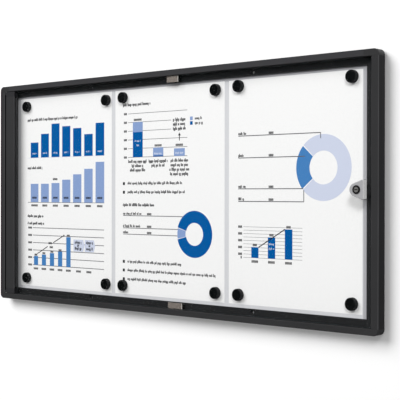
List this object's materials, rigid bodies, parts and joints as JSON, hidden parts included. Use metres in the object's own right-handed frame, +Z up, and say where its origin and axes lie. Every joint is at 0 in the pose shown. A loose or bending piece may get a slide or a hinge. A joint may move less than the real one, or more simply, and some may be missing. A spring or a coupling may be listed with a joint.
{
  "type": "notice board display case",
  "caption": "Slim wall display case for printed sheets: black frame, steel back panel with magnets, clear hinged door with a cam lock.",
  "frame": {"origin": "middle of the four wall-fixing holes, in the plane of the wall", "axes": "+X to the right of a person facing the case, +Z up, +Y into the wall, so the front faces -Y"},
  "size_m": [0.71, 0.0238, 0.34],
  "materials": {
    "frame_black": "satin black coated extrusion",
    "corner_black": "fine moulded grain",
    "panel_grey": "smooth light grey coating",
    "board": "pressed board",
    "paper_white": "matt printed paper",
    "clip_steel": "plain sheet",
    "zinc_steel": "zinc plated",
    "pane_clear": "clear polished acrylic",
    "tape": "foam tape",
    "lock_grey": "satin moulded",
    "lock_black": "gloss",
    "strike_black": "matt black coated sheet",
    "lock_silver": "turned",
    "magnet_black": "semi-gloss moulded",
    "ferrite": "sintered"
  },
  "bodies": {
    "frame": {"frame_top": "frame_black", "frame_bottom": "frame_black", "frame_left": "frame_black", "frame_right": "frame_black", "corner_top_left": "corner_black", "corner_top_right": "corner_black", "corner_bottom_left": "corner_black", "corner_bottom_right": "corner_black", "corner_screws": "zinc_steel", "back_panel": "panel_grey", "backing_board": "board", "sheet_left": "paper_white", "sheet_middle": "paper_white", "sheet_right": "paper_white", "stop_clip_top": "clip_steel", "stop_clip_bottom": "clip_steel", "clip_rivets": "zinc_steel", "hinge_pin_top": "zinc_steel", "hinge_pin_bottom": "zinc_steel", "lock_strike": "strike_black", "strike_rivets": "zinc_steel"},
    "door": {"hinge_profile": "frame_black", "pivot_block_top": "corner_black", "pivot_block_bottom": "corner_black", "pivot_screws": "zinc_steel", "door_pane": "pane_clear", "pane_tape_front": "tape", "pane_tape_back": "tape", "lock_housing": "lock_grey", "lock_barrel": "lock_black", "lock_nut": "zinc_steel"},
    "lock": {"lock_plug": "lock_silver", "lock_cam": "zinc_steel", "cam_screw": "zinc_steel"},
    "magnet_left_top_left": {"magnet_cap_left_top_left": "magnet_black", "magnet_disc_left_top_left": "ferrite"},
    "magnet_left_top_right": {"magnet_cap_left_top_right": "magnet_black", "magnet_disc_left_top_right": "ferrite"},
    "magnet_left_bottom_left": {"magnet_cap_left_bottom_left": "magnet_black", "magnet_disc_left_bottom_left": "ferrite"},
    "magnet_left_bottom_right": {"magnet_cap_left_bottom_right": "magnet_black", "magnet_disc_left_bottom_right": "ferrite"},
    "magnet_middle_top_left": {"magnet_cap_middle_top_left": "magnet_black", "magnet_disc_middle_top_left": "ferrite"},
    "magnet_middle_top_right": {"magnet_cap_middle_top_right": "magnet_black", "magnet_disc_middle_top_right": "ferrite"},
    "magnet_middle_bottom_left": {"magnet_cap_middle_bottom_left": "magnet_black", "magnet_disc_middle_bottom_left": "ferrite"},
    "magnet_middle_bottom_right": {"magnet_cap_middle_bottom_right": "magnet_black", "magnet_disc_middle_bottom_right": "ferrite"},
    "magnet_right_top_left": {"magnet_cap_right_top_left": "magnet_black", "magnet_disc_right_top_left": "ferrite"},
    "magnet_right_top_right": {"magnet_cap_right_top_right": "magnet_black", "magnet_disc_right_top_right": "ferrite"},
    "magnet_right_bottom_left": {"magnet_cap_right_bottom_left": "magnet_black", "magnet_disc_right_bottom_left": "ferrite"},
    "magnet_right_bottom_right": {"magnet_cap_right_bottom_right": "magnet_black", "magnet_disc_right_bottom_right": "ferrite"}
  },
  "joints": [
    {"name": "door_hinge", "type": "hinge", "parent": "frame", "child": "door", "pos_m": [-0.3428, -0.0159, 0], "axis": [0, 0, -1], "range_deg": [0, 105]},
    {"name": "lock_turn", "type": "hinge", "parent": "door", "child": "lock", "pos_m": [0.3275, -0.015, 0.0033], "axis": [0, -1, 0], "range_deg": [0, 90]},
    {"name": "magnet_slide_left_top_left", "type": "slide", "parent": "frame", "child": "magnet_left_top_left", "axis": [0, 0, -1], "range_m": [0, 0.12]},
    {"name": "magnet_slide_left_top_right", "type": "slide", "parent": "frame", "child": "magnet_left_top_right", "axis": [0, 0, -1], "range_m": [0, 0.12]},
    {"name": "magnet_slide_left_bottom_left", "type": "slide", "parent": "frame", "child": "magnet_left_bottom_left", "axis": [0, 0, 1], "range_m": [0, 0.12]},
    {"name": "magnet_slide_left_bottom_right", "type": "slide", "parent": "frame", "child": "magnet_left_bottom_right", "axis": [0, 0, 1], "range_m": [0, 0.12]},
    {"name": "magnet_slide_middle_top_left", "type": "slide", "parent": "frame", "child": "magnet_middle_top_left", "axis": [0, 0, -1], "range_m": [0, 0.12]},
    {"name": "magnet_slide_middle_top_right", "type": "slide", "parent": "frame", "child": "magnet_middle_top_right", "axis": [0, 0, -1], "range_m": [0, 0.12]},
    {"name": "magnet_slide_middle_bottom_left", "type": "slide", "parent": "frame", "child": "magnet_middle_bottom_left", "axis": [0, 0, 1], "range_m": [0, 0.12]},
    {"name": "magnet_slide_middle_bottom_right", "type": "slide", "parent": "frame", "child": "magnet_middle_bottom_right", "axis": [0, 0, 1], "range_m": [0, 0.12]},
    {"name": "magnet_slide_right_top_left", "type": "slide", "parent": "frame", "child": "magnet_right_top_left", "axis": [0, 0, -1], "range_m": [0, 0.12]},
    {"name": "magnet_slide_right_top_right", "type": "slide", "parent": "frame", "child": "magnet_right_top_right", "axis": [0, 0, -1], "range_m": [0, 0.12]},
    {"name": "magnet_slide_right_bottom_left", "type": "slide", "parent": "frame", "child": "magnet_right_bottom_left", "axis": [0, 0, 1], "range_m": [0, 0.12]},
    {"name": "magnet_slide_right_bottom_right", "type": "slide", "parent": "frame", "child": "magnet_right_bottom_right", "axis": [0, 0, 1], "range_m": [0, 0.12]}
  ]
}
